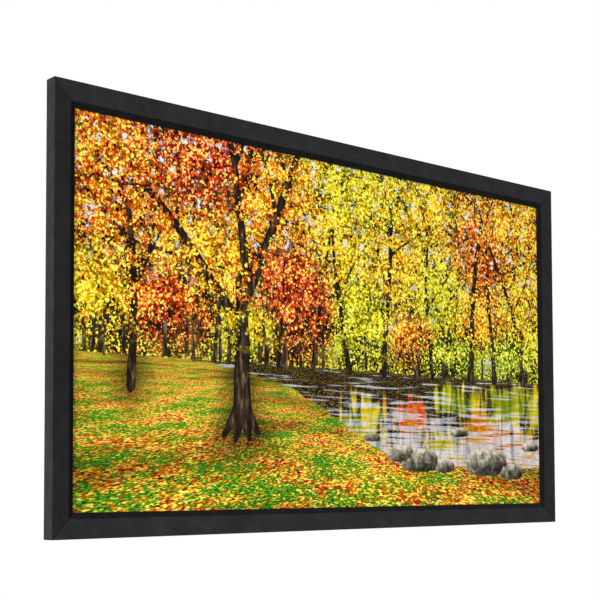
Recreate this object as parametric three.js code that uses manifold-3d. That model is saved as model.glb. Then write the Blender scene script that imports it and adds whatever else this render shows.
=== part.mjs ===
// A fixed frame projector screen, 100 inch, 16:9, as it hangs on a wall.
//
// Four mitred aluminium bars, each wrapped in black velvet, are held square by steel angles in their
// rear slots. A white sheet with a black back is stretched behind them: each of its edges has a hem
// over a round rod, and plastic clips pull the rods outwards onto a rib of the bar. A brace keeps the
// long bars parallel, and folded brackets hook into the rear slots and hold the frame on the wall.
//
// Millimetres. X is to the right seen from the front, Z is up and the picture faces -Y. The origin is
// the middle of the whole object. A bar's section is drawn in (s, d): s runs from the frame's outer
// edge towards the picture, and d from the front of the frame towards the wall.
import * as THREE from "three";
import { mergeVertices } from "three/addons/utils/BufferGeometryUtils.js";
import Module from "manifold-3d";

const wasm = await Module();
wasm.setup();

// Picture and outer form
const pictureWidth = 2214;
const pictureHeight = 1245;
const border = 80;
const frameDepth = 50;
const faceWidth = 60;
const faceFall = 6;
const bevelFall = 10;
const noseDepth = 3.5;
const edgeRadius = 1.6;

// Velvet wrap
const velvetThickness = 0.7;
const rearTurnIn = 8;
const lipTurnIn = 8;

// Clearances
const seatGap = 0.3;
const mitreGap = 0.3;

// Aluminium extrusion
const wall = 2;
const boxWall = 1.8;
const lipWidth = 8;
const ribThickness = 2;
const ribBulb = 0.8;
const ribBulbHeight = 2;
const grooveWidth = 6;
const slotMouth = 12;
const slotWidth = 24;
const slotDepth = 4.5;

// Sheet, hems and rods
const sheetThickness = 0.6;
const rodRadius = 3;
const hemWeld = 16;
const weldLead = 1.5;
const hemCornerClearance = 26;
const rodOverhang = 5;
const windowMargin = 3;

// Tension clips
const clipsOnLongSide = 10;
const clipsOnShortSide = 6;
const clipWidth = 18;
const clipThickness = 2.4;
const legThickness = 2.6;
const legReach = 8;
const hookWrap = 120;
const rodStandoff = 10;
const lipClearance = 1.3;

// Corner angles and their grub screws
const angleLength = 150;
const angleChamfer = 3;
const grubRadius = 3;
const grubLength = 5.4;
const grubPlaces = [75, 125];
const hexRadius = 1.7;
const hexDepth = 2.6;

// Centre brace and its feet
const braceWidth = 30;
const braceDepth = 15;
const braceWall = 1.5;
const braceClearance = 1.6;
const footWidth = 40;
const footTongueWidth = 26;
const footThickness = 5.7;
const footPlugLength = 38;

// Wall brackets
const bracketSheet = 2;
const bracketWidth = 90;
const bracketLength = 112;
const bracketHook = 5;
const bracketSpacing = 1320;
const bracketCorner = 8;
const wallHoleRadius = 2.5;
const wallHoleSpacing = 50;
const wallHoleRows = [24, 44];

// Places that follow from the sizes above
const outerWidth = pictureWidth + 2 * border;
const outerHeight = pictureHeight + 2 * border;
const metalInset = velvetThickness + seatGap;
const metalRear = frameDepth - metalInset;
const wallPlane = metalRear + seatGap + bracketSheet;
const faceSlope = faceFall / (faceWidth - edgeRadius);
const bevelSlope = bevelFall / (border - faceWidth);
const noseFront = faceFall + bevelFall;
const noseRear = noseFront + noseDepth;

const sheetFront = noseRear + seatGap;
const sheetBack = sheetFront + sheetThickness;
const hemInner = rodRadius + seatGap;
const hemOuter = hemInner + sheetThickness;
const rodDepth = sheetFront + hemOuter;

const hookInner = rodRadius + seatGap;
const hookOuter = hookInner + clipThickness;
const strapFront = rodDepth + hookInner;
const strapRear = strapFront + clipThickness;

const lipBack = border - metalInset - lipWidth;
const rodInset = lipBack - lipClearance - hookOuter;
const ribInner = rodInset - rodStandoff;
const ribOuter = ribInner - ribThickness;
const ribTop = strapFront - seatGap;
const boxInner = ribOuter - grooveWidth;
const panelEdge = rodInset + hookOuter + 2;

const legInner = ribOuter - ribBulb - seatGap;
const legEnd = ribTop - legReach;
const barbTop = ribTop - ribBulbHeight - seatGap / 2;

const slotMiddle = (metalInset + boxInner) / 2;
const slotSides = [slotMiddle - slotWidth / 2, slotMiddle + slotWidth / 2];
const mouthSides = [slotMiddle - slotMouth / 2, slotMiddle + slotMouth / 2];
const slotRoof = metalRear - wall;
const slotFloor = slotRoof - slotDepth;

const braceFront = strapRear + braceClearance;
const braceRear = braceFront + braceDepth;
const footSeat = boxInner + seatGap;
const footTop = footSeat + footThickness;

// Materials
const velvet = new THREE.MeshStandardMaterial({ color: 0x1c1c1d, roughness: 0.96, metalness: 0 });
const aluminium = new THREE.MeshStandardMaterial({ color: 0xb6b9bc, roughness: 0.42, metalness: 1 });
const zincSteel = new THREE.MeshStandardMaterial({ color: 0x9ea2a6, roughness: 0.36, metalness: 1 });
const blackSteel = new THREE.MeshStandardMaterial({ color: 0x232325, roughness: 0.55, metalness: 0.2 });
const fibreglass = new THREE.MeshStandardMaterial({ color: 0xd9d2b8, roughness: 0.5, metalness: 0 });
const nylon = new THREE.MeshStandardMaterial({ color: 0x1f1f21, roughness: 0.5, metalness: 0 });
const screenVinyl = new THREE.MeshStandardMaterial({ color: 0xf1f1ee, roughness: 0.9, metalness: 0 });

const screen = new THREE.Group();

function addPiece(group, name, geometry, material) {
  const mesh = new THREE.Mesh(geometry, material);
  mesh.name = name;
  group.add(mesh);
  return mesh;
}

// Points on an arc about (s, d), from one angle to another in degrees, in the given number of steps.
function arc(s, d, radius, from, to, steps) {
  return Array.from({ length: steps + 1 }, (_, i) => {
    const angle = THREE.MathUtils.degToRad(from + ((to - from) * i) / steps);
    return [s + radius * Math.cos(angle), d + radius * Math.sin(angle)];
  });
}

// The same open path moved to the left of its direction by a distance, with square corners.
function offsetPath(path, distance) {
  const normals = path.slice(1).map(([s, d], i) => {
    const along = new THREE.Vector2(s - path[i][0], d - path[i][1]).normalize();
    return new THREE.Vector2(-along.y, along.x);
  });
  return path.map(([s, d], i) => {
    const before = normals[Math.max(i - 1, 0)];
    const after = normals[Math.min(i, normals.length - 1)];
    const scale = distance / (1 + before.dot(after));
    return [s + (before.x + after.x) * scale, d + (before.y + after.y) * scale];
  });
}

// A closed outline, whose holes an extrusion only turns the right way if it runs anticlockwise.
function outline(points, holes = []) {
  const toPath = (corners) => corners.map(([x, y]) => new THREE.Vector2(x, y));
  const edge = toPath(points);
  const shape = new THREE.Shape(THREE.ShapeUtils.isClockWise(edge) ? edge.reverse() : edge);
  shape.holes = holes.map((hole) => new THREE.Path(toPath(hole)));
  return shape;
}

function rectangle(x0, x1, y0, y1) {
  return [
    [x0, y0],
    [x1, y0],
    [x1, y1],
    [x0, y1],
  ];
}

function extrude(shape, from, to) {
  const geometry = new THREE.ExtrudeGeometry(shape, { depth: to - from, bevelEnabled: false });
  return geometry.translate(0, 0, from);
}

// A side's own axes have X along the bar, Y towards the wall and Z outwards, with Z = 0 on the frame's
// outer edge. A section in (s, d) that is extruded along Z turns into them by a quarter turn about Y.
function toSideAxes(geometry) {
  return geometry.rotateY(Math.PI / 2).translate(0, -wallPlane / 2, 0);
}

// A straight piece of constant section, from one place along the bar to another.
function straight(shape, from, to) {
  return toSideAxes(extrude(shape, from, to));
}

// A piece of constant section with both ends cut at 45 degrees, for a side of the given outer length.
function mitred(shape, length) {
  const geometry = extrude(shape, 0, 1);
  const position = geometry.getAttribute("position");
  const setBack = (mitreGap / 2) * Math.SQRT2;
  for (let i = 0; i < position.count; i++) {
    const end = position.getZ(i) > 0.5 ? 1 : -1;
    position.setZ(i, end * (length / 2 - position.getX(i) - setBack));
  }
  return toSideAxes(geometry);
}

// A flat piece whose outline is drawn in (x, s), from one depth to another.
function plate(shape, from, to) {
  return extrude(shape, from, to)
    .rotateX(-Math.PI / 2)
    .translate(0, -wallPlane / 2, 0);
}

// A round bar that points at the wall, at (x, s), from one depth to another.
function stud(x, s, radius, from, to, faces) {
  const geometry = new THREE.CylinderGeometry(radius, radius, to - from, faces);
  return geometry.translate(x, (from + to - wallPlane) / 2, -s);
}

function toSolid(geometry) {
  const bare = new THREE.BufferGeometry();
  const source = geometry.index ? geometry.toNonIndexed() : geometry;
  bare.setAttribute("position", source.getAttribute("position"));
  const merged = mergeVertices(bare, 1e-4);
  return new wasm.Manifold(
    new wasm.Mesh({
      numProp: 3,
      vertProperties: merged.getAttribute("position").array,
      triVerts: new Uint32Array(merged.index.array),
    }),
  );
}

function toGeometry(solid) {
  const { vertProperties, triVerts } = solid.getMesh();
  const indexed = new THREE.BufferGeometry();
  indexed.setAttribute("position", new THREE.BufferAttribute(vertProperties, 3));
  indexed.setIndex(new THREE.BufferAttribute(triVerts, 1));
  const geometry = indexed.toNonIndexed();
  geometry.computeVertexNormals();
  return geometry;
}

// All the added geometries as one solid, less all the cut ones.
function carved(added, cut) {
  const whole = added.map(toSolid).reduce((sum, solid) => sum.add(solid));
  return toGeometry(cut.map(toSolid).reduce((rest, solid) => rest.subtract(solid), whole));
}

// The four sides, each in a group of its own axes.
const sides = [
  { name: "top", length: outerWidth, across: outerHeight, turn: 0, clips: clipsOnLongSide },
  { name: "right", length: outerHeight, across: outerWidth, turn: 0.5, clips: clipsOnShortSide },
  { name: "bottom", length: outerWidth, across: outerHeight, turn: 1, clips: clipsOnLongSide },
  { name: "left", length: outerHeight, across: outerWidth, turn: -0.5, clips: clipsOnShortSide },
];
for (const side of sides) {
  const angle = side.turn * Math.PI;
  side.group = new THREE.Group();
  side.group.rotation.y = angle;
  side.group.position.set(Math.sin(angle), 0, Math.cos(angle)).multiplyScalar(side.across / 2);
  side.group.updateMatrix();
  side.hemHalf = side.length / 2 - rodInset - hemCornerClearance;
  const pitch = (2 * side.hemHalf) / side.clips;
  side.places = Array.from({ length: side.clips }, (_, i) => (i + 0.5 - side.clips / 2) * pitch);
  screen.add(side.group);
}

// Bars and velvet

// Depth of the front at a distance s from the outer edge, moved inwards square to itself.
function frontDepth(s, inwards) {
  const onFace = (s - edgeRadius) * faceSlope + inwards * Math.hypot(1, faceSlope);
  const onBevel = faceFall + (s - faceWidth) * bevelSlope + inwards * Math.hypot(1, bevelSlope);
  return Math.max(onFace, onBevel);
}

// The visible surface, from its turn-in on the rear round the front to its turn-in behind the lip.
const surface = [
  [rearTurnIn, frameDepth],
  [0, frameDepth],
  ...arc(edgeRadius, edgeRadius, edgeRadius, 180, 270, 3),
  [faceWidth, faceFall],
  [border, noseFront],
  [border, noseRear],
  [border - lipTurnIn, noseRear],
];

function velvetSection() {
  return outline([...surface, ...offsetPath(surface, velvetThickness).reverse()]);
}

// The bar: a box with a slotted rear, a flange that carries the face on to the lip, and a bulbed rib.
function barSection() {
  const skin = offsetPath(surface, metalInset).slice(1, -1);
  const inset = metalInset + wall;
  const contour = [
    ...skin,
    [lipBack, noseRear - metalInset],
    [lipBack, frontDepth(lipBack, inset)],
    [faceWidth, frontDepth(faceWidth, inset)],
    [ribInner, frontDepth(ribInner, inset)],
    [ribInner, ribTop],
    [ribOuter - ribBulb, ribTop],
    [ribOuter - ribBulb, ribTop - ribBulbHeight],
    [ribOuter, ribTop - ribBulbHeight - ribBulb],
    [ribOuter, frontDepth(ribOuter, inset)],
    [boxInner, frontDepth(boxInner, inset)],
    [boxInner, metalRear],
    [mouthSides[1], metalRear],
    [mouthSides[1], slotRoof],
    [slotSides[1], slotRoof],
    [slotSides[1], slotFloor],
    [slotSides[0], slotFloor],
    [slotSides[0], slotRoof],
    [mouthSides[0], slotRoof],
    [mouthSides[0], metalRear],
  ];
  const [outside, inside] = [metalInset + boxWall, boxInner - boxWall];
  const chamber = [
    [outside, frontDepth(outside, inset)],
    [inside, frontDepth(inside, inset)],
    [inside, metalRear - boxWall],
    [slotSides[1] + boxWall, metalRear - boxWall],
    [slotSides[1] + boxWall, slotFloor - boxWall],
    [slotSides[0] - boxWall, slotFloor - boxWall],
    [slotSides[0] - boxWall, metalRear - boxWall],
    [outside, metalRear - boxWall],
  ];
  return outline(contour, [chamber]);
}

for (const { name, length, group } of sides) {
  addPiece(group, `frame_bar_${name}`, mitred(barSection(), length), aluminium);
  addPiece(group, `velvet_wrap_${name}`, mitred(velvetSection(), length), velvet);
}

// Rods and clips

// A barbed leg's inner side, from the strap down behind the bulb of the rib to the tip.
const barbedSide = [
  [legInner, barbTop],
  [legInner + ribBulb, barbTop - ribBulb],
  [legInner + ribBulb, barbTop - 2 * ribBulb],
  [legInner - legThickness / 2, legEnd],
];

// A clip in section: a hook that snaps over the rod, a strap, and a barbed leg behind the rib.
function clipSection() {
  const legOuter = legInner - legThickness;
  return outline([
    [legOuter + clipThickness / 2, strapRear],
    ...arc(rodInset, rodDepth, hookOuter, 90, -hookWrap, 9),
    ...arc(rodInset, rodDepth, hookInner, -hookWrap, 90, 8),
    [legInner, strapFront],
    ...barbedSide,
    [legOuter, legEnd],
    [legOuter, strapRear - clipThickness / 2],
  ]);
}

for (const { name, group, hemHalf, places } of sides) {
  const rodLength = 2 * (hemHalf + rodOverhang);
  const rod = new THREE.CylinderGeometry(rodRadius, rodRadius, rodLength, 14).rotateZ(Math.PI / 2);
  addPiece(group, `tension_rod_${name}`, rod, fibreglass).position.set(0, rodDepth - wallPlane / 2, -rodInset);
  const clip = straight(clipSection(), -clipWidth / 2, clipWidth / 2);
  places.forEach((place, i) => {
    addPiece(group, `tension_clip_${name}_${i + 1}`, clip, nylon).position.x = place;
  });
}

// The sheet: a flat panel with a hem along each edge, and a window in the hem at every clip

// A hem in section: the sheet goes round the rod and is welded down on its own back.
function hemSection() {
  const weldTop = sheetBack + sheetThickness;
  const weldStart = panelEdge - weldLead;
  const weldEnd = panelEdge + hemWeld;
  const toWeld = new THREE.Vector2(weldStart - rodInset, weldTop - rodDepth);
  const leaves = Math.atan2(toWeld.y, toWeld.x) + Math.acos(hemOuter / toWeld.length());
  const slack = (hemInner * (1 + Math.sin(leaves))) / Math.cos(leaves);
  const cusp = rodInset + hemInner * Math.cos(leaves) + slack * Math.sin(leaves);
  const round = (radius) => arc(rodInset, rodDepth, radius, 270, THREE.MathUtils.radToDeg(leaves), 8);
  const outer = [[weldEnd, sheetFront], ...round(hemOuter), [weldStart, weldTop], [weldEnd, weldTop]];
  return outline(outer, [[...round(hemInner), [cusp, sheetBack]]]);
}

function sheet() {
  const halfWidth = outerWidth / 2 - panelEdge;
  const panel = outline(rectangle(panelEdge, outerHeight - panelEdge, sheetFront, sheetBack));
  const flat = straight(panel, -halfWidth, halfWidth).applyMatrix4(sides[0].group.matrix);
  const hems = [];
  const windows = [];
  for (const { group, hemHalf, places } of sides) {
    hems.push(straight(hemSection(), -hemHalf, hemHalf).applyMatrix4(group.matrix));
    const windowReach = [rodInset - 2 * hemOuter, panelEdge + 1];
    const window = outline(rectangle(...windowReach, sheetFront - 1, rodDepth + 2 * hemOuter));
    const half = clipWidth / 2 + windowMargin;
    for (const place of places) {
      windows.push(straight(window, place - half, place + half).applyMatrix4(group.matrix));
    }
  }
  return carved([flat, ...hems], windows);
}
addPiece(screen, "screen_sheet", sheet(), screenVinyl);

// Corner angles: one in the rear slots of each two bars, with two grub screws in each arm

// Drawn from the frame's outer corner, with x and s along the two bars.
function cornerAngle() {
  const near = slotSides[0] + seatGap;
  const far = slotSides[1] - seatGap;
  const front = slotFloor + seatGap;
  const arms = outline([
    [near + angleChamfer, near],
    [angleLength - angleChamfer, near],
    [angleLength, near + angleChamfer],
    [angleLength, far - angleChamfer],
    [angleLength - angleChamfer, far],
    [far, far],
    [far, angleLength - angleChamfer],
    [far - angleChamfer, angleLength],
    [near + angleChamfer, angleLength],
    [near, angleLength - angleChamfer],
    [near, near + angleChamfer],
  ]);
  const spots = grubPlaces.flatMap((place) => [
    [place, slotMiddle],
    [slotMiddle, place],
  ]);
  const tip = front + grubLength;
  return carved(
    [
      plate(arms, front, slotRoof - seatGap),
      ...spots.map(([x, s]) => stud(x, s, grubRadius, front, tip, 16)),
    ],
    spots.map(([x, s]) => stud(x, s, hexRadius, tip - hexDepth, tip + 1, 6)),
  );
}

const corners = [
  { name: "top_left", x: -1, z: 1, turn: 0 },
  { name: "top_right", x: 1, z: 1, turn: 0.5 },
  { name: "bottom_right", x: 1, z: -1, turn: 1 },
  { name: "bottom_left", x: -1, z: -1, turn: -0.5 },
];
for (const { name, x, z, turn } of corners) {
  const angle = addPiece(screen, `corner_angle_${name}`, cornerAngle(), zincSteel);
  angle.position.set((x * outerWidth) / 2, 0, (z * outerHeight) / 2);
  angle.rotation.y = turn * Math.PI;
}

// Centre brace: a tube between the long bars, on a foot at each end that clips into the groove

function braceTube() {
  const halfLength = outerHeight / 2 - footTop - seatGap;
  const [front, rear] = [braceFront - wallPlane / 2, braceRear - wallPlane / 2];
  const half = braceWidth / 2;
  const bore = rectangle(-half + braceWall, half - braceWall, front + braceWall, rear - braceWall);
  return extrude(outline(rectangle(-half, half, front, rear), [bore]), -halfLength, halfLength);
}
addPiece(screen, "centre_brace", braceTube(), aluminium);

function braceFoot() {
  const base = outline(rectangle(footSeat, footTop, ribTop + seatGap, braceRear));
  const tongue = outline([[footSeat, braceFront], [legInner, braceFront], ...barbedSide, [footSeat, legEnd]]);
  const fit = braceWall + seatGap;
  const plug = outline(
    rectangle(footTop - 1, footTop + footPlugLength, braceFront + fit, braceRear - fit),
  );
  return carved(
    [
      straight(base, -footWidth / 2, footWidth / 2),
      straight(tongue, -footTongueWidth / 2, footTongueWidth / 2),
      straight(plug, -braceWidth / 2 + fit, braceWidth / 2 - fit),
    ],
    [],
  );
}
for (const { name, group } of [sides[0], sides[2]]) {
  addPiece(group, `brace_foot_${name}`, braceFoot(), nylon);
}

// Wall brackets: the upper ones carry the flange above the slot's mouth, and the lower ones the one
// that is above it at the bottom bar, so that the frame is lifted on and drops behind all the hooks

// The step and the plate start at the same place, and the hook goes on from the step to either side.
function wallBracket(start, hookFrom, hookTo) {
  const hookRear = slotRoof - seatGap;
  const hookFront = hookRear - bracketSheet;
  const plateFront = wallPlane - bracketSheet;
  const plateEnd = start + bracketLength;
  const sections = [
    rectangle(hookFrom, hookTo, hookFront, hookRear),
    rectangle(start, start + bracketSheet, hookFront, wallPlane),
    rectangle(start, plateEnd, plateFront, wallPlane),
  ];
  const half = bracketWidth / 2;
  const holes = wallHoleRows.flatMap((row) =>
    [-wallHoleSpacing / 2, wallHoleSpacing / 2].map((x) =>
      stud(x, plateEnd - row, wallHoleRadius, plateFront - 1, wallPlane + 1, 16),
    ),
  );
  const cutCorners = [-1, 1].map((side) => {
    const corner = [
      [side * (half - bracketCorner), plateEnd + 1],
      [side * (half + 1), plateEnd + 1],
      [side * (half + 1), plateEnd - bracketCorner],
    ];
    return plate(outline(corner), plateFront - 1, wallPlane + 1);
  });
  return carved(
    sections.map((section) => straight(outline(section), -half, half)),
    [...holes, ...cutCorners],
  );
}

const upperStep = mouthSides[0] + seatGap;
const lowerStep = mouthSides[1] - seatGap - bracketSheet;
const bracketForms = [
  {
    row: "upper",
    group: sides[0].group,
    form: [upperStep, upperStep - bracketHook, upperStep + bracketSheet],
  },
  {
    row: "lower",
    group: sides[2].group,
    form: [lowerStep, lowerStep, lowerStep + bracketSheet + bracketHook],
  },
];
for (const { row, group, form } of bracketForms) {
  const rightward = row === "upper" ? 1 : -1;
  for (const [name, side] of [
    ["left", -1],
    ["right", 1],
  ]) {
    const bracket = addPiece(group, `wall_bracket_${row}_${name}`, wallBracket(...form), blackSteel);
    bracket.position.x = (rightward * side * bracketSpacing) / 2;
  }
}

export default screen;
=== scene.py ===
# The looks of a fixed frame projector screen: velvet, projection sheet, metal and plastic.
import math

import bpy
import numpy as np
from mathutils import Euler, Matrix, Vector


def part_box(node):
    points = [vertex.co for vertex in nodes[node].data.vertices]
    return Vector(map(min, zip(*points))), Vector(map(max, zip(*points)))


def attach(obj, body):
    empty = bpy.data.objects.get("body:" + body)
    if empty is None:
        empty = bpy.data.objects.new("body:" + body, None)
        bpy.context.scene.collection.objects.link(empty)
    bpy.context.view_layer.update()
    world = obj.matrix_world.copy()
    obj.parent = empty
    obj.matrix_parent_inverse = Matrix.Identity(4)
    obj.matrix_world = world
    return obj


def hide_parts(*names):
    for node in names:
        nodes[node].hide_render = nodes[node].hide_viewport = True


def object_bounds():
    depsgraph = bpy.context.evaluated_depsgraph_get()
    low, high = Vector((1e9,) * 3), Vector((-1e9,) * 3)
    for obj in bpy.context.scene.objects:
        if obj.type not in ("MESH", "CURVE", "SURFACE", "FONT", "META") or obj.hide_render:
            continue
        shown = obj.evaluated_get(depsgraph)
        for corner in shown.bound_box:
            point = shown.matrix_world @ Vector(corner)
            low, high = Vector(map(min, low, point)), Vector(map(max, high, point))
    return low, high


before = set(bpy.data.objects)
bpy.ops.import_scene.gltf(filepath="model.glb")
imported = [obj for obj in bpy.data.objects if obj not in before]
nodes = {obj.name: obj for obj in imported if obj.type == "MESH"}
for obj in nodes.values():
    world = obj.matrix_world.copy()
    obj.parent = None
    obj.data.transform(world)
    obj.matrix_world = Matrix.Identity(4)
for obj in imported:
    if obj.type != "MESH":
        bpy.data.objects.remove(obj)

cad_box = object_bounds()

# Sizes in metres. The outer ones and the rods' places come from the frame, and the sections repeat the
# part's own. A section is in (s, d): s runs from the frame's outer edge inwards, and d from its front
# to the wall.
MM = 0.001
LOW, HIGH = cad_box
FRONT = LOW.y
HALF_WIDTH, HALF_HEIGHT = HIGH.x, HIGH.z
FRAME_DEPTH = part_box("velvet_wrap_top")[1].y - FRONT
BORDER = 80 * MM
FACE_WIDTH, FACE_FALL = 60 * MM, 6 * MM
BEVEL_FALL, NOSE_DEPTH = 10 * MM, 3.5 * MM
NOSE_FRONT = FACE_FALL + BEVEL_FALL
EDGE_RADIUS, EDGE_STEPS = 1.6 * MM, 5
TURN_IN = 8 * MM
VELVET_THICKNESS = 0.7 * MM
CREASE_ROUNDING, CREASE_STEPS = 0.9 * MM, 4
MITRE_GAP = 0.3 * MM

rod_low, rod_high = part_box("tension_rod_top")
ROD_RADIUS = (rod_high.z - rod_low.z) / 2
ROD_S = HALF_HEIGHT - (rod_high.z + rod_low.z) / 2
ROD_D = (rod_high.y + rod_low.y) / 2 - FRONT
ROD_CLEARANCE = 0.3 * MM
ROD_STANDS_OUT = 5 * MM
SHEET_THICKNESS = 0.6 * MM
# The hem's outer radius round its rod, and the flat panel's front, which touches it
HEM_RADIUS = ROD_RADIUS + ROD_CLEARANCE + SHEET_THICKNESS
HEM_ROUND_STEPS = 14
PANEL_FRONT = ROD_D - HEM_RADIUS
# From a rod's middle in to where the flat panel ends, just past the clips' hooks
HOOK_REACH = 7.7 * MM
PANEL_EDGE = ROD_S + HOOK_REACH
PANEL_GRID = (220, 124)
# The weld's width, how far out from the panel's edge it starts, and its ribs' spacing
WELD_WIDTH, WELD_LEAD, WELD_RIBS = 16 * MM, 1.5 * MM, 2.4 * MM
WINDOW_MARGIN = 3 * MM
# The picture goes this far under the frame's lip, and black vinyl starts there.
PICTURE_MARGIN = 4 * MM
PICTURE_X = HALF_WIDTH - BORDER + PICTURE_MARGIN
PICTURE_Z = HALF_HEIGHT - BORDER + PICTURE_MARGIN
PICTURE_SEED = 7
# A point this near to a place counts as being there.
NEAR = 0.01 * MM

# The photograph's camera, found from the frame's outer corners in its 600 x 600 picture
PHOTO_SIZE = 600
PRINCIPAL_ROW = 420
FOCAL_PIXELS = 1245
SENSOR_WIDTH = 36
CAMERA_PLACE = (-3.020, FRONT - 3.323, -0.529)
CAMERA_YAW = 40.14
CAMERA_PITCH = 2.82
CAMERA_ROLL = -0.18

# Lamps: name, kind, place, size (a sun's is its angle) and strength. The key rakes across the front from
# the upper left, which tells the bars' bevels from their faces. The fill opens its shadows, and the
# third lights the back.
LAMPS = (
    ("key", "SUN", (-7.8, -3.4, 3.4), math.radians(12), 3.8),
    ("fill", "AREA", (-1.8, -4.6, 0.6), 3.0, 56),
    ("rear", "AREA", (0.5, 5.0, 0.8), 3.0, 140),
)
WORLD_STRENGTH = 0.20
FLOOR_DROP = 1.0
FLOOR_SIZE = 16.0
# Where the floor starts to turn to the white behind it, and where it has
FLOOR_FADE = (2.5, 6.5)


def linear(code, alpha=1.0):
    """A colour written as sRGB hex, as linear RGBA."""
    parts = [int(code[i : i + 2], 16) / 255 for i in (0, 2, 4)]
    return (*[c / 12.92 if c <= 0.04045 else ((c + 0.055) / 1.055) ** 2.4 for c in parts], alpha)


def per(millimetres):
    """A texture's scale for a pattern of that size."""
    return 1 / (millimetres * MM)


def add(tree, kind, *values, inputs=None, stops=None, **settings):
    """Adds a shader node. Values go to its inputs in order, and a node or socket is linked."""
    node = tree.nodes.new("ShaderNode" + kind)
    for name, setting in settings.items():
        setattr(node, name, setting)
    for key, value in [*enumerate(values), *(inputs or {}).items()]:
        if isinstance(value, bpy.types.Node):
            value = value.outputs[0]
        if isinstance(value, bpy.types.NodeSocket):
            tree.links.new(value, node.inputs[key])
        elif value is not None:
            node.inputs[key].default_value = value
    if stops:
        ramp = node.color_ramp.elements
        while len(ramp) < len(stops):
            ramp.new(1.0)
        for element, (place, code) in zip(ramp, stops):
            element.position = place
            element.color = linear(code)
    return node


def start_material(name, **constants):
    """A new material with a Principled shader, and its own constants on the shader's sockets."""
    material = bpy.data.materials.new(name)
    material.use_nodes = True
    tree = material.node_tree
    shader = tree.nodes["Principled BSDF"]
    for key, value in constants.items():
        shader.inputs[key.replace("_", " ")].default_value = value
    return material, tree, shader


def feed(tree, shader, **sources):
    """Links nodes to the shader's sockets, by name."""
    for key, source in sources.items():
        tree.links.new(source.outputs[0], shader.inputs[key.replace("_", " ")])


def object_place(tree, scale=(1, 1, 1)):
    """Object coordinates in metres, stretched by scale."""
    place = add(tree, "TexCoord").outputs["Object"]
    return add(tree, "Mapping", place, inputs={"Scale": scale})


def from_outer_edges(tree, place):
    """How far in a point is from the frame's outer ends, from its long edges, and from the nearer."""
    corner = add(tree, "VectorMath", place, operation="ABSOLUTE")
    inwards = add(tree, "VectorMath", (HALF_WIDTH, 0, HALF_HEIGHT), corner, operation="SUBTRACT")
    from_end, _, from_side = add(tree, "SeparateXYZ", inwards).outputs
    return from_end, from_side, add(tree, "Math", from_end, from_side, operation="MINIMUM")


# Finishes


def black_velvet(name, lean):
    """Self-adhesive nylon flock on a woven back: deep black without a gloss, and a faint sheen of pile.

    The uprights are painted in darker shade than the long sides, as if they took less of the light:
    lean is the share of its tone that the face keeps.
    """
    material, tree, shader = start_material(
        name, Roughness=1.0, Specular_IOR_Level=0.0, Sheen_Weight=0.16, Sheen_Roughness=0.4,
        Sheen_Tint=linear("B9B9BC"),
    )
    place = object_place(tree)
    # The pile is under 0.1 mm across, so its tufts are drawn as 1.5 mm clumps.
    tufts = add(tree, "TexNoise", place, inputs={"Scale": per(1.54), "Detail": 2, "Roughness": 0.6})
    # Brushed areas, where the pile leans another way, are some 60 mm across.
    brushed = add(tree, "TexNoise", place, inputs={"Scale": per(62.5), "Detail": 3, "Roughness": 0.55})
    pile = add(tree, "MixRGB", 0.2, tufts, brushed)
    tone = add(tree, "ValToRGB", pile, stops=[(0.36, "1A1A1C"), (0.5, "2A2A2C"), (0.64, "3B3B3D")])

    # By how far in from the outer edge, painted light and shade: the outer sides and their rounded edges
    # are painted lighter, the face keeps its strip's share of the tone, and the bevel is painted darkest.
    from_end, from_side, nearest = from_outer_edges(tree, place)
    painted_side_light_and_shade = add(tree, "MapRange", nearest, 0.5 * MM, 2 * MM, 1.3, lean)
    painted_bevel_shade = add(tree, "MapRange", nearest, FACE_WIDTH, FACE_WIDTH + 2 * MM, 1.0, 0.42)
    painted_light_and_shade = add(tree, "Math", painted_side_light_and_shade, painted_bevel_shade, operation="MULTIPLY")
    # At a mitre the cut pile opens along a line under 1 mm wide, drawn 2 mm wide to show.
    across_mitre = add(tree, "Math", from_end, from_side, operation="SUBTRACT")
    off_mitre = add(tree, "Math", across_mitre, operation="ABSOLUTE")
    opened = add(tree, "MapRange", off_mitre, 1 * MM, 2 * MM, 0.45, 1.0)
    # The painted light and shade, together with the dark mitre line
    darker = add(tree, "Math", painted_light_and_shade, opened, operation="MULTIPLY")
    velvet = add(tree, "MixRGB", 1.0, tone, darker, blend_type="MULTIPLY")
    bump = add(tree, "Bump", inputs={"Strength": 0.35, "Distance": 0.4 * MM, "Height": tufts})
    feed(tree, shader, Base_Color=velvet, Normal=bump)
    return material


def drawn_aluminium(name, along):
    """Satin anodised extrusion: its die leaves fine lines along the bar, and etching blurs them.

    The lines are 0.1 mm apart, and are drawn 1.4 mm apart to show.
    """
    material, tree, shader = start_material(name, Metallic=1.0)
    stretch = [per(670) if axis == along else per(1.43) for axis in range(3)]
    lines = add(tree, "TexNoise", object_place(tree, stretch), inputs={"Scale": 1, "Detail": 3})
    cloud = add(tree, "TexNoise", object_place(tree), inputs={"Scale": per(111), "Detail": 2})
    mixed = add(tree, "MixRGB", 0.4, lines, cloud)
    tone = add(tree, "ValToRGB", mixed, stops=[(0.3, "999CA0"), (0.7, "B7BABD")])
    rough = add(tree, "MapRange", mixed, inputs={"To Min": 0.34, "To Max": 0.52})
    bump = add(tree, "Bump", inputs={"Strength": 0.12, "Distance": 0.05 * MM, "Height": lines})
    feed(tree, shader, Base_Color=tone, Roughness=rough, Normal=bump)
    return material


def bright_zinc():
    """Bright zinc plating on stamped steel: bluish grey, with a faint yellow mottle 8 mm across."""
    material, tree, shader = start_material("bright_zinc_steel", Metallic=1.0)
    place = object_place(tree)
    mottle = add(tree, "TexNoise", place, inputs={"Scale": per(8.3), "Detail": 4, "Distortion": 0.6})
    tone = add(tree, "ValToRGB", mottle, stops=[(0.3, "8F969C"), (0.55, "A9ADB0"), (0.75, "B3AE9C")])
    rough = add(tree, "MapRange", mottle, inputs={"To Min": 0.24, "To Max": 0.42})
    feed(tree, shader, Base_Color=tone, Roughness=rough)
    return material


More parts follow.
